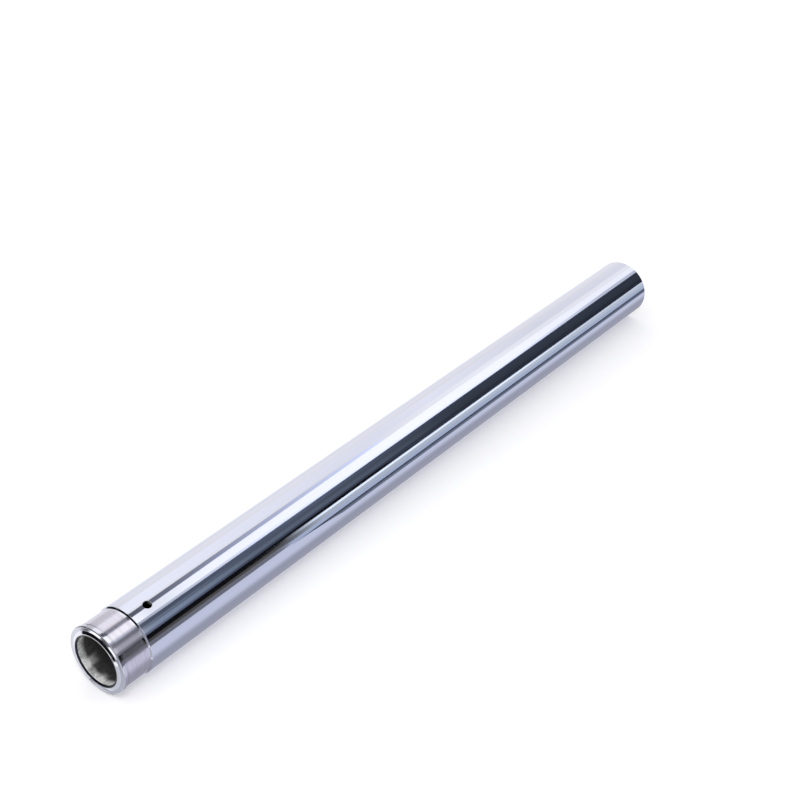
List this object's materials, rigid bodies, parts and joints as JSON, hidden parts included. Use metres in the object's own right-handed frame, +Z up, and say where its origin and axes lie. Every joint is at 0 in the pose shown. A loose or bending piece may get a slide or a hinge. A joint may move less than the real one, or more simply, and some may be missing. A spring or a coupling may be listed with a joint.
{
  "type": "fork tube",
  "caption": "Straight chromed inner tube of a telescopic motorcycle fork, with a lipped bush seat and oil hole at its lower end and a counterbored, threaded upper mouth.",
  "frame": {"origin": "on the tube's axis, half way along it", "axes": "+X along the tube towards its upper, threaded end; +Z up as it lies; the oil hole is turned 14.5 degrees from +Z towards -Y"},
  "size_m": [0.5321, 0.041, 0.041],
  "materials": {
    "hard_chrome": "polished"
  },
  "bodies": {
    "root": {"fork_tube": "hard_chrome"}
  },
  "joints": []
}
